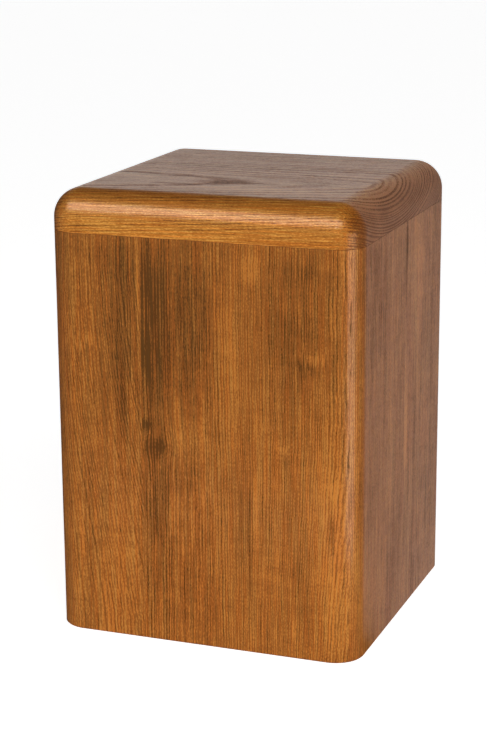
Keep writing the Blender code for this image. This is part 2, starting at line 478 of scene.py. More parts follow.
def make_top_board(settings):
    """The top board: the outline across its grain, carried from end to end.

    The outline is a rectangle with its two upper corners rounded. Towards each end the
    board rounds over, so the station at an angle a round that bend has its outline drawn in
    by radius x (1 - cos a) at the sides and the top, and its corners' radius is
    radius x cos a.
    """
    radius = EDGE_RADIUS
    side_run = evenly(BOARD_UNDERSIDE + SEAM_ARRIS, HEIGHT - radius, SIDE_STEP)[:-1]
    bend = evenly(0.0, math.pi / 2, ACROSS_STEP / radius)
    y = DEPTH / 2 - radius
    face_run = evenly(-y, y, ACROSS_STEP)[1:-1]

    # Each point of the outline: a fixed place, and the direction in which the radius acts.
    right = [(y, z, 1.0, 0.0) for z in side_run]
    right += [(y, HEIGHT - radius, math.cos(b), math.sin(b)) for b in bend]
    top = [(across, HEIGHT - radius, 0.0, 1.0) for across in face_run[::-1]]
    left = [(-y, z, -across, up) for y, z, across, up in right[::-1]]
    foot = 1 - SEAM_ARRIS / radius
    floor = [(-y, SEAM_HEIGHT, -foot, 0.0), (y, SEAM_HEIGHT, foot, 0.0)]
    outline = np.array(right + top + left + floor)

    angle = np.linspace(0.0, math.pi / 2, END_STEPS)
    straight = evenly(-(WIDTH / 2 - radius), WIDTH / 2 - radius, ALONG_STEP)[1:-1]
    x = np.concatenate([-(WIDTH / 2 - radius) - radius * np.sin(angle[::-1]), straight])
    x = np.concatenate([x, WIDTH / 2 - radius + radius * np.sin(angle)])
    bulge = np.concatenate([np.cos(angle[::-1]), np.ones_like(straight), np.cos(angle)])

    y = outline[:, 0] + radius * bulge[:, None] * outline[:, 2]
    z = outline[:, 1] + radius * bulge[:, None] * outline[:, 3]
    x = np.broadcast_to(x[:, None], y.shape)
    rings = ring_count(FIGURES["top"], y, z, x)
    groove = settings.relief * early_wood(rings) * smooth_step(*BEND_FADES, bulge)[:, None]
    groove *= smooth_step(0, END_FADE, z - SEAM_HEIGHT)
    points = np.stack([x, y - groove * outline[:, 2], z - groove * outline[:, 3]], axis=-1)
    faces = tube_faces(*points.shape[:2])
    return add_piece("board_top", points.reshape(-1, 3), faces, "top_board")


# Node trees.


# Where the Mix node keeps its two colours and their mix.
MIX_FIRST, MIX_SECOND, MIX_RESULT = 6, 7, 2


class Wiring:
    """Short ways of adding nodes to one node tree and joining them."""

    def __init__(self, tree):
        self.tree = tree

    def node(self, kind, **settings):
        """A new node of that kind, with those settings."""
        made = self.tree.nodes.new(kind)
        for name, value in settings.items():
            setattr(made, name, value)
        return made

    def feed(self, socket, value):
        """Joins value to the socket where it is a node's output, and otherwise sets it."""
        if isinstance(value, bpy.types.NodeSocket):
            self.tree.links.new(value, socket)
        else:
            socket.default_value = value

    def math(self, operation, *values):
        """The result of that operation on numbers."""
        made = self.node("ShaderNodeMath", operation=operation)
        for socket, value in zip(made.inputs, values):
            self.feed(socket, value)
        return made.outputs["Value"]

    def vector(self, operation, *values):
        """The result of that operation on vectors, which for some is a number."""
        made = self.node("ShaderNodeVectorMath", operation=operation)
        for socket, value in zip(made.inputs, values):
            self.feed(socket, value)
        return made.outputs["Value" if operation in ("LENGTH", "DOT_PRODUCT") else "Vector"]

    def parts(self, vector):
        """The three numbers of a vector."""
        made = self.node("ShaderNodeSeparateXYZ")
        self.feed(made.inputs[0], vector)
        return tuple(made.outputs)

    def joined(self, x, y, z):
        """The vector of three numbers."""
        made = self.node("ShaderNodeCombineXYZ")
        for socket, value in zip(made.inputs, (x, y, z)):
            self.feed(socket, value)
        return made.outputs[0]

    def step(self, value, low, high, to_low=0.0, to_high=1.0):
        """value taken smoothly from the range low to high to the range to_low to to_high."""
        made = self.node("ShaderNodeMapRange", interpolation_type="SMOOTHSTEP")
        for socket, item in zip(made.inputs, (value, low, high, to_low, to_high)):
            self.feed(socket, item)
        return made.outputs["Result"]

    def mix(self, share, first, second, blend="MIX"):
        """The first colour at share 0, and its blend with the second at share 1."""
        made = self.node("ShaderNodeMix", data_type="RGBA", blend_type=blend)
        made.clamp_factor = True
        self.feed(made.inputs["Factor"], share)
        self.feed(made.inputs[MIX_FIRST], first)
        self.feed(made.inputs[MIX_SECOND], second)
        return made.outputs[MIX_RESULT]

    def noise(self, vector, scale=1.0, detail=2.0, output="Fac"):
        """Soft noise round 0.5, with its cells 1 / scale apart."""
        made = self.node("ShaderNodeTexNoise")
        self.feed(made.inputs["Vector"], vector)
        made.inputs["Scale"].default_value = scale
        made.inputs["Detail"].default_value = detail
        return made.outputs[output]

    def bump(self, height, strength, distance):
        """The normal of a surface with that height, in parts of distance."""
        made = self.node("ShaderNodeBump")
        made.inputs["Strength"].default_value = strength
        made.inputs["Distance"].default_value = distance
        self.feed(made.inputs["Height"], height)
        return made.outputs["Normal"]

    def surface(self, sockets):
        """A material's surface, from what goes to each named socket of its shader."""
        shader = self.node("ShaderNodeBsdfPrincipled")
        for name, value in sockets.items():
            self.feed(shader.inputs[name], value)
        output = self.node("ShaderNodeOutputMaterial")
        self.feed(output.inputs["Surface"], shader.outputs["BSDF"])

    def group(self, name, **values):
        """A node of that group, with its inputs given by their names in lower case."""
        made = self.node("ShaderNodeGroup", node_tree=bpy.data.node_groups[name])
        for socket in made.inputs:
            key = socket.name.lower().replace(" ", "_")
            if key in values:
                self.feed(socket, values[key])
        return made.outputs


def new_group(name, inputs, outputs):
    """An empty shader node group, its wiring, its given values and its results by name."""
    group = bpy.data.node_groups.new(name, "ShaderNodeTree")
    kinds = {"float": "NodeSocketFloat", "vector": "NodeSocketVector", "color": "NodeSocketColor"}
    for socket_name, kind in inputs.items():
        group.interface.new_socket(name=socket_name, in_out="INPUT", socket_type=kinds[kind])
    for socket_name, kind in outputs.items():
        group.interface.new_socket(name=socket_name, in_out="OUTPUT", socket_type=kinds[kind])
    wiring = Wiring(group)
    given = wiring.node("NodeGroupInput").outputs
    results = wiring.node("NodeGroupOutput").inputs
    return wiring, given, results


def make_patch_group():
    """Patch: 1 at a centre and falling away at that reach in s and in g.

    The mask is e to the power of -(q to the power of Edge), where q is the squared distance
    in reaches, so Edge 1 is a bell curve and 2 has a flatter top.
    """
    wiring, given, results = new_group(
        "Patch",
        {"Vector": "vector", "Centre": "vector", "Reach": "vector", "Edge": "float"},
        {"Mask": "float"},
    )
    away = wiring.vector("SUBTRACT", given["Vector"], given["Centre"])
    away = wiring.vector("DIVIDE", away, given["Reach"])
    square = wiring.vector("DOT_PRODUCT", away, away)
    steep = wiring.math("POWER", square, given["Edge"])
    wiring.feed(results["Mask"], wiring.math("POWER", math.e, wiring.math("MULTIPLY", steep, -1.0)))


def make_knot_group():
    """Knot: pushes places in s away from its centre, so that the grain runs round it.

    Shade is 1 in the middle of the knot, with faint arcs round that.
    """
    wiring, given, results = new_group(
        "Knot",
        {"Vector": "vector", "Centre": "vector", "Reach": "vector", "Push": "float"},
        {"Vector": "vector", "Shade": "float"},
    )
    place = {"vector": given["Vector"], "centre": given["Centre"]}
    mask = wiring.group("Patch", **place, reach=given["Reach"], edge=KNOT_EDGE)["Mask"]
    away = wiring.vector("SUBTRACT", given["Vector"], given["Centre"])
    sideways = wiring.joined(wiring.parts(away)[0], 0.0, 0.0)
    pull = wiring.math("MULTIPLY", wiring.math("MULTIPLY", mask, given["Push"]), -1.0)
    moved = wiring.vector("MULTIPLY", sideways, wiring.joined(pull, pull, pull))
    wiring.feed(results["Vector"], wiring.vector("ADD", given["Vector"], moved))
    near = wiring.vector("MULTIPLY", given["Reach"], KNOT_CORE)
    core = wiring.group("Patch", **place, reach=near, edge=KNOT_EDGE)["Mask"]
    size = wiring.vector("LENGTH", wiring.vector("DIVIDE", away, given["Reach"]))
    arcs = wiring.math("SINE", wiring.math("MULTIPLY", size, 2 * math.pi * KNOT_ARCS))
    arcs = wiring.math("MULTIPLY_ADD", arcs, KNOT_ARC_DEPTH, 1.0 - KNOT_ARC_DEPTH)
    wiring.feed(results["Shade"], wiring.math("MULTIPLY", core, arcs))


def make_feather_group():
    """Feather: shifts places along the grain by streaks, so that a patch's edge frays."""
    wiring, given, results = new_group(
        "Feather", {"Vector": "vector", "Grain Seed": "float"}, {"Vector": "vector"}
    )
    cells = in_cells(wiring, given["Vector"], FEATHER_SIZE, given["Grain Seed"])
    shift = wiring.vector("SUBTRACT", wiring.noise(cells, output="Color"), (0.5, 0.5, 0.5))
    shift = wiring.vector("MULTIPLY", shift, FEATHER_SHIFT)
    wiring.feed(results["Vector"], wiring.vector("ADD", given["Vector"], shift))


def make_rings_group():
    """Growth rings: the same count of rings as ring_count gives, after its knots."""
    wiring, given, results = new_group(
        "Growth rings",
        {
            "Vector": "vector",
            "Pith": "vector",
            "Ring Width": "float",
            "Lean": "vector",
            "Taper": "float",
            "Taper From": "float",
            "Taper Line": "float",
            "Sway": "float",
            "Sway Length": "float",
            "Sway Start": "float",
        },
        {"Rings": "float"},
    )
    s, n, g = wiring.parts(given["Vector"])
    math_node = wiring.math
    drop = math_node("MINIMUM", math_node("SUBTRACT", g, given["Taper From"]), 0.0)
    stretch = math_node("MULTIPLY_ADD", given["Taper"], drop, 1.0)
    from_line = math_node("SUBTRACT", s, given["Taper Line"])
    s = math_node("MULTIPLY_ADD", from_line, stretch, given["Taper Line"])
    turn = math_node("DIVIDE", math_node("MULTIPLY", g, 2 * math.pi), given["Sway Length"])
    turn = math_node("SINE", math_node("ADD", turn, given["Sway Start"]))
    s = math_node("MULTIPLY_ADD", given["Sway"], turn, s)
    for height, length, skew in WAVERS:
        turn = math_node("MULTIPLY", s, skew)
        turn = math_node("MULTIPLY_ADD", g, 2 * math.pi / length, turn)
        s = math_node("MULTIPLY_ADD", math_node("SINE", turn), height, s)
    leaning = wiring.vector("MULTIPLY", given["Lean"], wiring.joined(g, g, 0.0))
    centre = wiring.vector("ADD", given["Pith"], leaning)
    away = wiring.vector("SUBTRACT", wiring.joined(s, n, 0.0), centre)
    distance = wiring.vector("LENGTH", away)
    rings = math_node("DIVIDE", distance, given["Ring Width"])
    for amount, length in RING_WAVES:
        wave = math_node("SINE", math_node("MULTIPLY", distance, 2 * math.pi / length))
        rings = math_node("MULTIPLY_ADD", wave, amount, rings)
    wiring.feed(results["Rings"], rings)


# Sizes of the timber's fine texture, as (across the grain, along it).
FIBRE_SIZE = (0.00055, 0.028)
STREAK_SIZE = (0.0085, 0.180)
STIPPLE_SIZE = (0.00045, 0.0013)
PORE_SIZE = (0.00038, 0.0034)
DASH_SIZE = (0.0008, 0.0090)
CLOUD_SIZE = (0.024, 0.070)
HUE_SIZE = (0.0010, 0.040)
FLAME_SIZE = (0.020, 0.0050)
FEATHER_SIZE = (0.0012, 0.040)
FEATHER_SHIFT = (0.003, 0.0, 0.025)

# How flat-topped a knot and a patch are.
KNOT_EDGE = 1.0
PATCH_EDGE = 2.0

# A knot's dark core as shares of its reach, and the faint arcs round its middle.
KNOT_CORE = (0.62, 1.0, 0.62)
KNOT_ARCS = 4.0
KNOT_ARC_DEPTH = 0.16

# How much each texture adds to the timber's darkness, from 0, palest, to 1, darkest.
PLAIN_DARKNESS = 0.30
EARLY_DARKNESS = 0.52
PORE_DARKNESS = 0.25
FIBRE_DARKNESS = 1.1
STREAK_DARKNESS = 0.34
STIPPLE_DARKNESS = 0.95
CLOUD_DARKNESS = 0.30
FLAME_DARKNESS = 0.25
END_DARKNESS = 0.46
KNOT_DARKNESS = 0.90

# How unevenly the fibres take up the figures' shade, and the noise values where they do.
SHADE_SPECKLE = 0.5
SPECKLE_FADES = (0.3, 0.7)

# How many cells the noises of one board are shifted from those of the next.
SEED_SHIFT = 17.3

# The least early wood that a ring has, with the most as 1.
EARLY_LEAST = 0.35

# The noise values between which the early wood's dashes come in, and their least strength.
DASH_FADES = (0.35, 0.6)
DASH_LEAST = 0.35

# How far from its middle a pore fades, in cells, and how much of it late wood has.
PORE_FADES = (0.22, 0.46)
PORE_IN_LATE_WOOD = 0.15

# How deep the early wood lies in the bump, with the fibres' height as 1.
EARLY_DEPTH = 0.6

# The darkness, over the plain wood's, at which the pores are all open.
OPEN_DARKNESS = 0.6

# How much more open, and so duller, the end grain is.
END_OPENNESS = 0.22

# How much of the fine texture goes where the end grain shows.
END_SMOOTHNESS = 0.65

# The tints between which the colour wanders from fibre to fibre.
GOLDEN = (0.98, 1.04, 1.05, 1.0)
RUSSET = (1.05, 0.87, 0.62, 1.0)
HUE_FADES = (0.35, 0.65)


def in_cells(wiring, vector, size, seed):
    """The board's places counted in cells of that size, and shifted by the seed."""
    across, along = size
    scaled = wiring.vector("DIVIDE", vector, (across, across, along))
    return wiring.vector("ADD", scaled, wiring.joined(seed, seed, seed))


def early_layer(wiring, given, seed):
    """The early wood: stronger in some rings than in others, and broken into dashes."""
    share = wiring.math("FRACT", given["Rings"])
    rise = wiring.step(share, *EARLY_RISE)
    fall = wiring.step(share, *EARLY_FALL, 1.0, 0.0)
    number = wiring.math("ADD", wiring.math("FLOOR", given["Rings"]), given["Grain Seed"])
    white = wiring.node("ShaderNodeTexWhiteNoise", noise_dimensions="1D")
    wiring.feed(white.inputs["W"], number)
    own = wiring.math("MULTIPLY_ADD", white.outputs["Value"], 1.0 - EARLY_LEAST, EARLY_LEAST)
    early = wiring.math("MULTIPLY", wiring.math("MULTIPLY", rise, fall), own)
    dashes = wiring.noise(in_cells(wiring, given["Vector"], DASH_SIZE, seed), detail=1.0)
    return wiring.math("MULTIPLY", early, wiring.step(dashes, *DASH_FADES, DASH_LEAST, 1.0))


def pore_layer(wiring, given, seed, early):
    """Short pores along the grain, most of them in the early wood."""
    cells = wiring.node("ShaderNodeTexVoronoi", feature="F1")
    wiring.feed(cells.inputs["Vector"], in_cells(wiring, given["Vector"], PORE_SIZE, seed))
    cells.inputs["Scale"].default_value = 1.0
    pore = wiring.step(cells.outputs["Distance"], *PORE_FADES, 1.0, 0.0)
    share = wiring.math("MULTIPLY_ADD", early, 1.0 - PORE_IN_LATE_WOOD, PORE_IN_LATE_WOOD)
    return wiring.math("MULTIPLY", pore, share)


def noise_layers(wiring, given, seed):
    """What streaks, stipple, clouds, bars and fibres add to the darkness, and the fibres."""
    total, noise = 0.0, None
    for size, detail, amount in (
        (STREAK_SIZE, 3.0, STREAK_DARKNESS),
        (STIPPLE_SIZE, 1.0, STIPPLE_DARKNESS),
        (CLOUD_SIZE, 2.0, CLOUD_DARKNESS),
        (FLAME_SIZE, 2.0, FLAME_DARKNESS),
        (FIBRE_SIZE, 3.0, FIBRE_DARKNESS),
    ):
        noise = wiring.noise(in_cells(wiring, given["Vector"], size, seed), detail=detail)
        total = wiring.math("MULTIPLY_ADD", wiring.math("SUBTRACT", noise, 0.5), amount, total)
    return total, noise


def make_timber_group():
    """Timber: colour and height of ring-porous wood from its count of rings.

    Its darkness adds up from the early wood, the pores and the noises. Shade and end grain
    darken it further. The colour runs from Light through Middle to Dark, and wanders a
    little from golden to russet. Openness is 1 where the pores take the gloss away.
    """
    wiring, given, results = new_group(
        "Timber",
        {
            "Vector": "vector",
            "Rings": "float",
            "Shade": "float",
            "End Grain": "float",
            "Grain Seed": "float",
            "Light": "color",
            "Middle": "color",
            "Dark": "color",
        },
        {"Color": "color", "Height": "float", "Openness": "float"},
    )
    seed = wiring.math("MULTIPLY", given["Grain Seed"], SEED_SHIFT)
    early = early_layer(wiring, given, seed)
    pore = pore_layer(wiring, given, seed, early)
    textures, fibre = noise_layers(wiring, given, seed)
    textures = wiring.math("MULTIPLY_ADD", pore, PORE_DARKNESS, textures)
    lasting = wiring.math("MULTIPLY_ADD", given["End Grain"], -END_SMOOTHNESS, 1.0)
    figured = wiring.math("MULTIPLY", early, EARLY_DARKNESS)
    figured = wiring.math("MULTIPLY_ADD", textures, lasting, figured)
    speckle = wiring.step(fibre, *SPECKLE_FADES, 1.0 - SHADE_SPECKLE, 1.0 + SHADE_SPECKLE)
    figured = wiring.math("MULTIPLY_ADD", given["Shade"], speckle, figured)

    dark = wiring.math("ADD", figured, PLAIN_DARKNESS)
    dark = wiring.math("MULTIPLY_ADD", given["End Grain"], END_DARKNESS, dark)
    color = wiring.mix(wiring.step(dark, 0.0, 0.5), given["Light"], given["Middle"])
    color = wiring.mix(wiring.step(dark, 0.5, 1.0), color, given["Dark"])
    hue = wiring.noise(in_cells(wiring, given["Vector"], HUE_SIZE, seed), detail=3.0)
    tint = wiring.mix(wiring.step(hue, *HUE_FADES), GOLDEN, RUSSET)
    wiring.feed(results["Color"], wiring.mix(1.0, color, tint, "MULTIPLY"))

    height = wiring.math("MULTIPLY_ADD", early, -EARLY_DEPTH, fibre)
    wiring.feed(results["Height"], wiring.math("SUBTRACT", height, pore))
    openness = wiring.math("MULTIPLY_ADD", given["End Grain"], END_OPENNESS, figured)
    wiring.feed(results["Openness"], wiring.step(openness, 0.0, OPEN_DARKNESS))


def wall_place(side):
    """Turns the frame's coordinates to (s, n, g) of that wall."""
    quarter_turns, _ = WALLS[side]
    length, depth = wall_reach(side)
    shift = Matrix.Translation((length / 2, depth / 2, 0.0))
    return shift @ Matrix.Rotation(-quarter_turns * math.pi / 2, 4, "Z")


# Turns the frame's (x, y, z) to (y, z, x), for boards whose grain runs along X.
GRAIN_ALONG_X = Matrix(((0, 1, 0), (0, 0, 1), (1, 0, 0))).to_4x4()


# How sharply the surface turns from side grain to end grain.
END_GRAIN_FADES = (0.25, 0.95)

# The lacquered timber's finish, and how much rougher and duller its open pores are.
TIMBER_ROUGHNESS = 0.42
TIMBER_SHEEN = 0.4
TIMBER_BUMP = 0.35
OPEN_ROUGHNESS = 0.2
OPEN_DULLNESS = 0.8

# The bare panel's finish and figure.
BARE_ROUGHNESS = 0.62
BARE_BUMP = 0.5
PANEL_FIGURE = Figure(pith=(0.03, -0.12), ring_width=0.0019, lean=(0.02, 0.02), grain_seed=12.0)

# The brass's tarnish, and the marks of its turning, which are thin along the screw's axis.
BRASS_ROUGHNESS = (0.25, 0.42)
BRASS_BUMP = 0.3
TARNISH_SCALE = 900.0
TARNISH_FADES = (0.3, 0.7)
TURNING_SCALE = 4000.0
TURNING_STRETCH = (1.0, 1.0, 12.0)
TURNING_DEPTH = 0.00002


def blank_material(name):
    """A material without nodes, and its wiring."""
    material = bpy.data.materials.new(name)
    material.use_nodes = True
    material.node_tree.nodes.clear()
    return material, Wiring(material.node_tree)


def in_board(wiring, output, kind, place):
    """The object's coordinates or its normal, turned to the board's (s, n, g)."""
    board = wiring.node("ShaderNodeMapping", vector_type=kind)
    wiring.feed(board.inputs["Vector"], wiring.node("ShaderNodeTexCoord").outputs[output])
    board.inputs["Rotation"].default_value = place.to_euler()
    if kind == "POINT":
        board.inputs["Location"].default_value = place.to_translation()
    return board.outputs["Vector"]


def figure_shade(wiring, figure, board):
    """The places with the grain bent round the figure's knots, and the figure's shade."""
    bent, shade = board, 0.0
    for s, g, reach_s, reach_g, push in figure.knots:
        centre, reach = (s, 0.0, g), (reach_s, 1.0, reach_g)
        knot = wiring.group("Knot", vector=bent, centre=centre, reach=reach, push=push)
        bent = knot["Vector"]
        shade = wiring.math("MULTIPLY_ADD", knot["Shade"], KNOT_DARKNESS, shade)
    frayed = wiring.group("Feather", vector=board, grain_seed=figure.grain_seed)["Vector"]
    for s, g, reach_s, reach_g, strength in figure.patches:
        centre, reach = (s, 0.0, g), (reach_s, 1.0, reach_g)
        patch = wiring.group("Patch", vector=frayed, centre=centre, reach=reach, edge=PATCH_EDGE)
        shade = wiring.math("MULTIPLY_ADD", patch["Mask"], strength, shade)
    return bent, shade


def timber_nodes(wiring, figure, places, settings, **more):
    """The timber at those places of the figure's board, in the settings' colours."""
    flat = figure._replace(pith=(*figure.pith, 0.0), lean=(*figure.lean, 0.0))
    rings = wiring.group("Growth rings", vector=places, **flat._asdict())["Rings"]
    return wiring.group(
        "Timber",
        vector=places,
        rings=rings,
        grain_seed=figure.grain_seed,
        light=(*settings.light, 1.0),
        middle=(*settings.middle, 1.0),
        dark=(*settings.dark, 1.0),
        **more,
    )


def timber_material(board_name, place, settings, lacquer):
    """Lacquered timber. place turns the object's coordinates to the board's (s, n, g)."""
    material, wiring = blank_material(f"timber_{board_name}")
    figure = FIGURES[board_name]
    board = in_board(wiring, "Object", "POINT", place)
    along = wiring.math("ABSOLUTE", wiring.parts(in_board(wiring, "Normal", "VECTOR", place))[2])
    end_grain = wiring.step(along, *END_GRAIN_FADES)
    bent, shade = figure_shade(wiring, figure, board)
    timber = timber_nodes(wiring, figure, bent, settings, shade=shade, end_grain=end_grain)
    openness = timber["Openness"]
    gloss = wiring.math("MULTIPLY_ADD", openness, -OPEN_DULLNESS, 1.0)
    wiring.surface(
        {
            "Base Color": timber["Color"],
            "Roughness": wiring.math("MULTIPLY_ADD", openness, OPEN_ROUGHNESS, TIMBER_ROUGHNESS),
            "Normal": wiring.bump(timber["Height"], TIMBER_BUMP, settings.bump),
            "Specular IOR Level": TIMBER_SHEEN,
            "Specular Tint": (*lacquer.glow, 1.0),
            "Coat Weight": wiring.math("MULTIPLY", gloss, lacquer.weight),
            "Coat Roughness": lacquer.roughness,
            "Coat IOR": lacquer.ior,
        }
    )
    return material


def bare_timber_material(settings):
    """The bottom panel's plain unlacquered timber."""
    material, wiring = blank_material("bare_timber")
    board = in_board(wiring, "Object", "POINT", GRAIN_ALONG_X)
    timber = timber_nodes(wiring, PANEL_FIGURE, board, settings)
    wiring.surface(
        {
            "Base Color": timber["Color"],
            "Roughness": BARE_ROUGHNESS,
            "Normal": wiring.bump(timber["Height"], BARE_BUMP, settings.bump),
        }
    )
    return material


def brass_material(settings):
    """Brass with fine turning marks and slightly tarnished patches."""
    material, wiring = blank_material("brass")
    coordinates = wiring.node("ShaderNodeTexCoord").outputs["Object"]
    tarnish = wiring.noise(coordinates, TARNISH_SCALE, 3.0)
    marks = wiring.noise(wiring.vector("MULTIPLY", coordinates, TURNING_STRETCH), TURNING_SCALE)
    wiring.surface(
        {
            "Base Color": wiring.mix(tarnish, (*settings.brass, 1.0), (*settings.tarnish, 1.0)),
            "Roughness": wiring.step(tarnish, *TARNISH_FADES, *BRASS_ROUGHNESS),
            "Normal": wiring.bump(marks, BRASS_BUMP, TURNING_DEPTH),
            "Metallic": 1.0,
        }
    )
    return material


def make_groups():
    """The node groups that the materials share, made once."""
    if "Timber" not in bpy.data.node_groups:
        make_patch_group()
        make_knot_group()
        make_feather_group()
        make_rings_group()
        make_timber_group()


# Stage.

# The camera of the photograph: its place, its turns in radians, its lens and sensor in
# millimetres, and how far it sees.
CAMERA_PLACE = (0.36768, -0.99079, 0.41043)
CAMERA_HEADING = -0.36188
CAMERA_TILT = -0.25708
CAMERA_ROLL = -0.00699
CAMERA_LENS = 97.3135
CAMERA_SENSOR = 36.0
CAMERA_REACH = 40.0


def make_camera():
    """A camera whose sight line starts along +Y, is turned to the heading and then tilted."""
    camera = new_object("camera", bpy.data.cameras.new("camera"))
    heading = Matrix.Rotation(-CAMERA_HEADING, 4, "Z")
    tilt = Matrix.Rotation(math.pi / 2 + CAMERA_TILT, 4, "X")
    roll = Matrix.Rotation(CAMERA_ROLL, 4, "Z")
    camera.matrix_world = Matrix.Translation(CAMERA_PLACE) @ heading @ tilt @ roll
    camera.data.sensor_width = CAMERA_SENSOR
    camera.data.lens = CAMERA_LENS
    camera.data.clip_end = CAMERA_REACH
    bpy.context.scene.camera = camera


def direction(azimuth, elevation):
    """The unit direction at that azimuth from -Y towards +X, and elevation, in degrees."""
    a, e = math.radians(azimuth), math.radians(elevation)
    return Vector((math.sin(a) * math.cos(e), -math.cos(a) * math.cos(e), math.sin(e)))


# The lights: the place that each faces, its (azimuth, elevation) from there in degrees, its
# distance, its (width, height), and True where only reflections see it or False where they
# don't.
LIGHTS = {
    "key": ((0.0, 0.0, HEIGHT / 2), (36, 40), 1.3, (0.9, 0.6), False),
    "fill": ((0.03, -DEPTH / 2, 0.0), (14, 3), 0.17, (0.5, 0.02), False),
    "strip": ((0.0, 0.0, HEIGHT / 2), (-10, 43), 1.3, (1.9, 0.70), True),
    "edge": ((WIDTH / 2, -DEPTH / 2, 0.1), (74, 0), 0.15, (0.10, 0.26), True),
}


def make_light(name, power):
    """One of the soft boxes, which faces its place."""
    target, bearing, distance, size, reflected = LIGHTS[name]
    light = bpy.data.lights.new(name, "AREA")
    light.shape = "RECTANGLE"
    light.size, light.size_y = size
    light.energy = power
    lamp = new_object(name, light)
    towards = direction(*bearing)
    lamp.location = Vector(target) + towards * distance
    lamp.rotation_euler = towards.to_track_quat("Z", "Y").to_euler()
    lamp.visible_camera = False
    lamp.visible_glossy = reflected
    lamp.visible_diffuse = not reflected


# The elevations in degrees between which the backdrop dims and the horizon's light ends.
BACKDROP_FADES = (2, 12)
HORIZON_FADES = (14, 22)


def make_world(settings):
    """A pale backdrop that dims a little above the horizon and darkens overhead.

    Its colour depends on the sine of the elevation alone.
    """
    world = bpy.data.worlds.new("studio")
    world.use_nodes = True
    world.node_tree.nodes.clear()
    wiring = Wiring(world.node_tree)
    upwards = wiring.parts(wiring.node("ShaderNodeTexCoord").outputs["Generated"])[2]
    color = (*settings.backdrop, 1.0)
    for (start, end), above in (
        (BACKDROP_FADES, settings.horizon),
        (HORIZON_FADES, settings.overhead),
    ):
        share = wiring.step(upwards, math.sin(math.radians(start)), math.sin(math.radians(end)))
        color = wiring.mix(share, color, (*above, 1.0))
    background = wiring.node("ShaderNodeBackground")
    wiring.feed(background.inputs["Color"], color)
    output = wiring.node("ShaderNodeOutputWorld")
    wiring.feed(output.inputs["Surface"], background.outputs["Background"])
    bpy.context.scene.world = world


# The radii of the floor's rings of points, and how many points each has.
FLOOR_RADII = (0.5, 2.0, 6.0, 30.0)
FLOOR_SIDES = 128

# The floor's finish, and how far and at what scale its colour varies.
FLOOR_ROUGHNESS = 0.9
FLOOR_SHEEN = 0.1
FLOOR_DIMMEST = 0.97
FLOOR_SCALE = 3.0


def make_floor(settings):
    """A wide disc of plain pale board, with a faint unevenness in its colour."""
    side = np.arange(FLOOR_SIDES)
    angle = 2 * math.pi * side / FLOOR_SIDES
    radius = np.array(FLOOR_RADII)[:, None, None]
    rings = radius * np.stack([np.cos(angle), np.sin(angle), 0 * angle], -1)
    points = np.concatenate([rings.reshape(-1, 3), np.zeros((1, 3))])
    quads = grid_quads(len(FLOOR_RADII), FLOOR_SIDES, closed=True)[:, ::-1]
    middle = np.stack([np.full_like(side, len(points) - 1), side, (side + 1) % FLOOR_SIDES], -1)
    mesh = bpy.data.meshes.new("floor")
    mesh.from_pydata(points, [], [*quads.tolist(), *middle.tolist()])
    floor = new_object("floor", mesh)
    material, wiring = blank_material("floor")
    coordinates = wiring.node("ShaderNodeTexCoord").outputs["Object"]
    pale = Vector(settings.floor)
    dimmest = (*(pale * FLOOR_DIMMEST), 1.0)
    wiring.surface(
        {
            "Base Color": wiring.mix(wiring.noise(coordinates, FLOOR_SCALE), (*pale, 1.0), dimmest),
            "Roughness": FLOOR_ROUGHNESS,
            "Specular IOR Level": FLOOR_SHEEN,
            "Emission Color": (*pale, 1.0),
            "Emission Strength": settings.glow,
        }
    )
    mesh.materials.append(material)


# Outline of the cloths round the box, as (distance from their pivot, height), the degrees
# between its places and the cloths' colour.
CLOTH_OUTLINE = ((0.0, 0.0002), (0.50, 0.0002), (0.50, 0.44))
CLOTH_STEP = 4.0
CLOTH_COLOR = (0.004, 0.003, 0.002, 1.0)

# The cloths: each pivot, and the azimuths in degrees between which it stands.
FRONT_CLOTH = ((0.0, 0.0), -128, 46)
RIGHT_CLOTH = ((WIDTH / 2 - EDGE_RADIUS, EDGE_RADIUS - DEPTH / 2), 46, 182)

# The azimuths in degrees between which a cloth's glow rises from none to all of it.
CLOTH_GLOW_FROM, CLOTH_GLOW_TO = 122, 174


def make_cloth(name, pivot, start, end, glow):
    """A dark cloth that only reflections see, as a photographer puts round shiny things.

    Its outline, out over the floor and then up, is carried round the pivot from one azimuth
    to the other. Its glow is that of a pale wall, which fades in with the azimuth.
    """
    angle = np.radians(evenly(start, end, CLOTH_STEP))[:, None]
    distance, height = np.array(CLOTH_OUTLINE).T
    x = pivot[0] + distance * np.sin(angle)
    y = pivot[1] - distance * np.cos(angle)
    points = np.stack([x, y, height + 0 * angle], axis=-1)
    mesh = bpy.data.meshes.new(name)
    mesh.from_pydata(points.reshape(-1, 3), [], grid_quads(*points.shape[:2]).tolist())
    cloth = new_object(name, mesh)
    material, wiring = blank_material(name)
    mapping = wiring.node("ShaderNodeMapping", vector_type="POINT")
    wiring.feed(mapping.inputs["Vector"], wiring.node("ShaderNodeTexCoord").outputs["Object"])
    mapping.inputs["Location"].default_value = (-pivot[0], -pivot[1], 0.0)
    x, y, _ = wiring.parts(mapping.outputs["Vector"])
    azimuth = wiring.math("ARCTAN2", x, wiring.math("MULTIPLY", y, -1.0))
    behind = wiring.math("ABSOLUTE", azimuth)
    share = wiring.step(behind, math.radians(CLOTH_GLOW_FROM), math.radians(CLOTH_GLOW_TO))
    color = wiring.mix(share, (0.0, 0.0, 0.0, 1.0), (glow, glow, glow, 1.0))
    wiring.surface(
        {
            "Base Color": CLOTH_COLOR,
            "Roughness": 1.0,
            "Specular IOR Level": 0.0,
            "Emission Color": color,
            "Emission Strength": 1.0,
        }
    )
    mesh.materials.append(material)
    cloth.visible_camera = cloth.visible_diffuse = cloth.visible_shadow = False


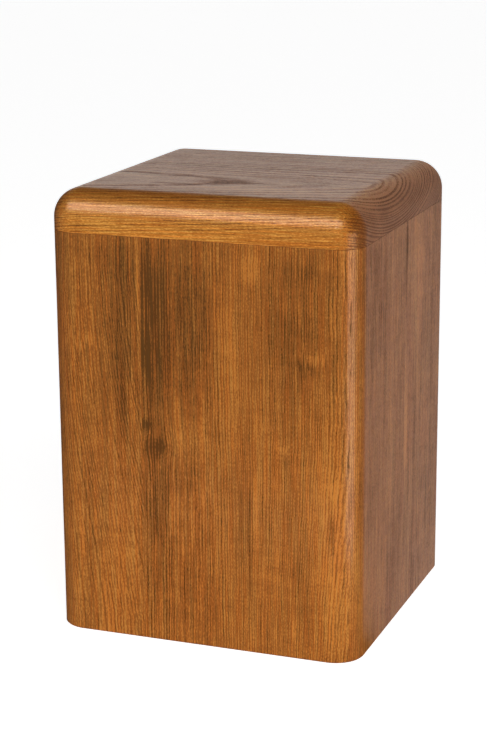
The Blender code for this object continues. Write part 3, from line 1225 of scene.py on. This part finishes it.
# Settings that a user would change.


def color_property(name, description, default):
    """A colour that the user picks."""
    return FloatVectorProperty(
        name=name, description=description, subtype="COLOR", default=default, min=0.0, max=1.0
    )


def amount_property(name, description, default, **limits):
    """A number that isn't below 0 unless the limits say so."""
    limits = {"min": 0.0} | limits
    return FloatProperty(name=name, description=description, default=default, **limits)


def fine_property(name, description, default):
    """A length far below a millimetre."""
    return amount_property(name, description, default, precision=6, unit="LENGTH")


class TimberSettings(PropertyGroup):
    """The walls' timber"""

    relief: fine_property("Relief", "How much deeper early wood lies than late wood", 0.00003)
    bump: fine_property("Bump", "Height of the fibres and pores in the finish", 0.00006)
    light: color_property("Light", "The walls' palest lines", (0.49, 0.179, 0.027))
    middle: color_property("Middle", "The walls' usual colour", (0.25, 0.0755, 0.0100))
    dark: color_property("Dark", "The walls' darkest lines", (0.085, 0.027, 0.004))


class TopTimberSettings(TimberSettings):
    """The top board's timber"""

    light: color_property("Light", "The top's palest lines", (0.69, 0.305, 0.050))
    middle: color_property("Middle", "The top's usual colour", (0.41, 0.137, 0.0155))
    dark: color_property("Dark", "The top's darkest lines", (0.13, 0.033, 0.005))


class UndersideSettings(PropertyGroup):
    """The bottom panel's bare timber, and its screws' brass"""

    light: color_property("Light", "The bottom panel's palest lines", (0.55, 0.36, 0.19))
    middle: color_property("Middle", "The bottom panel's usual colour", (0.46, 0.28, 0.14))
    dark: color_property("Dark", "The bottom panel's darkest lines", (0.33, 0.19, 0.09))
    brass: color_property("Brass", "The screws' bright metal", (0.80, 0.56, 0.22))
    tarnish: color_property("Tarnish", "The screws' duller metal", (0.42, 0.27, 0.10))
    bump: fine_property("Bump", "Height of the fibres in the bare wood", 0.00008)


class LacquerSettings(PropertyGroup):
    """The lacquer on the walls and the top board"""

    weight: amount_property(
        "Weight", "How much lacquer lies on the timber", 0.42, max=1.0, subtype="FACTOR"
    )
    glow: color_property("Glow", "The tint of light from within the fibres", (1.0, 0.58, 0.18))
    roughness: amount_property(
        "Roughness", "How satin the lacquer is", 0.22, max=1.0, subtype="FACTOR"
    )
    ior: amount_property("Refraction", "The lacquer's index of refraction", 1.5, min=1.0)


class StageSettings(PropertyGroup):
    """The floor, the room's light and the lamps"""

    floor: color_property("Floor", "The floor's colour", (0.80, 0.80, 0.80))
    glow: amount_property("Floor glow", "How much light the floor gives", 1.06)
    backdrop: color_property("Backdrop", "The backdrop where it meets the floor", (1.0, 1.0, 1.0))
    horizon: color_property("Horizon", "The light round the horizon", (0.79, 0.79, 0.79))
    overhead: color_property("Overhead", "The light from above", (0.07, 0.07, 0.07))
    side_glow: amount_property("Side glow", "What the right side reflects", 0.44)
    key: amount_property("Key light", "The soft light from the front", 5.4, unit="POWER")
    fill: amount_property("Fill light", "The low light at the front's foot", 0.17, unit="POWER")
    strip: amount_property(
        "Strip light", "What the top's rounded edge reflects", 36.0, unit="POWER"
    )
    edge: amount_property(
        "Edge light", "What the front right corner reflects", 0.31, unit="POWER"
    )


# Operators.


class URNBOX_OT_walls(Operator):
    """Makes the ten staves of the four walls"""

    bl_idname = "urnbox.walls"
    bl_label = "Walls"

    def execute(self, context):
        make_groups()
        scene = context.scene
        for side, (_, glue_lines) in WALLS.items():
            for number in range(1, len(glue_lines) + 2):
                stave = make_stave(side, number, scene.urn_timber)
                board, place = f"{side}_{number}", wall_place(side)
                stave.data.materials.append(
                    timber_material(board, place, scene.urn_timber, scene.urn_lacquer)
                )
        return {"FINISHED"}


class URNBOX_OT_top_board(Operator):
    """Makes the rounded board that closes the top"""

    bl_idname = "urnbox.top_board"
    bl_label = "Top board"

    def execute(self, context):
        make_groups()
        scene = context.scene
        board = make_top_board(scene.urn_top_timber)
        board.data.materials.append(
            timber_material("top", GRAIN_ALONG_X, scene.urn_top_timber, scene.urn_lacquer)
        )
        return {"FINISHED"}


class URNBOX_OT_underside(Operator):
    """Finishes the bottom panel in bare timber, and its screws in brass"""

    bl_idname = "urnbox.underside"
    bl_label = "Bottom panel and screws"

    def execute(self, context):
        make_groups()
        settings = context.scene.urn_underside
        brass = brass_material(settings)
        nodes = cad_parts
        nodes["bottom_panel"].material_slots[0].material = bare_timber_material(settings)
        for number in range(1, SCREWS + 1):
            nodes[f"panel_screw_{number}"].material_slots[0].material = brass
        return {"FINISHED"}


class URNBOX_OT_stage(Operator):
    """Makes the floor, the lights and the camera"""

    bl_idname = "urnbox.stage"
    bl_label = "Stage"

    def execute(self, context):
        settings = context.scene.urn_stage
        make_camera()
        make_world(settings)
        make_floor(settings)
        for name in LIGHTS:
            make_light(name, getattr(settings, name))
        make_cloth("front_cloth", *FRONT_CLOTH, 0.0)
        make_cloth("right_cloth", *RIGHT_CLOTH, settings.side_glow)
        context.scene.view_settings.view_transform = "Standard"
        return {"FINISHED"}


class URNBOX_PT_panel(Panel):
    """Lists what makes the box and its stage"""

    bl_idname = "URNBOX_PT_panel"
    bl_label = "Urn Box"
    bl_space_type = "VIEW_3D"
    bl_region_type = "UI"
    bl_category = "Urn Box"

    def draw(self, context):
        for operator in OPERATORS:
            self.layout.operator(operator.bl_idname)
        for name in SETTINGS:
            box = self.layout.box()
            group = getattr(context.scene, name)
            for key in group.bl_rna.properties.keys():
                if key not in ("name", "rna_type"):
                    box.prop(group, key)


OPERATORS = (URNBOX_OT_walls, URNBOX_OT_top_board, URNBOX_OT_underside, URNBOX_OT_stage)
SETTINGS = {
    "urn_timber": TimberSettings,
    "urn_top_timber": TopTimberSettings,
    "urn_underside": UndersideSettings,
    "urn_lacquer": LacquerSettings,
    "urn_stage": StageSettings,
}


def register():
    """Adds the settings, the operators and the panel."""
    for group in SETTINGS.values():
        bpy.utils.register_class(group)
    for operator in OPERATORS:
        bpy.utils.register_class(operator)
    bpy.utils.register_class(URNBOX_PT_panel)
    for name, group in SETTINGS.items():
        setattr(bpy.types.Scene, name, PointerProperty(type=group))


def unregister():
    """Takes away the settings, the operators and the panel."""
    for name in SETTINGS:
        delattr(bpy.types.Scene, name)
    bpy.utils.unregister_class(URNBOX_PT_panel)
    for operator in reversed(OPERATORS):
        bpy.utils.unregister_class(operator)
    for group in reversed(SETTINGS.values()):
        bpy.utils.unregister_class(group)


def main():
    """Makes the box and its stage."""
    register()
    bpy.ops.urnbox.walls()
    bpy.ops.urnbox.top_board()
    bpy.ops.urnbox.underside()
    bpy.ops.urnbox.stage()


if __name__ == "__main__":
    main()
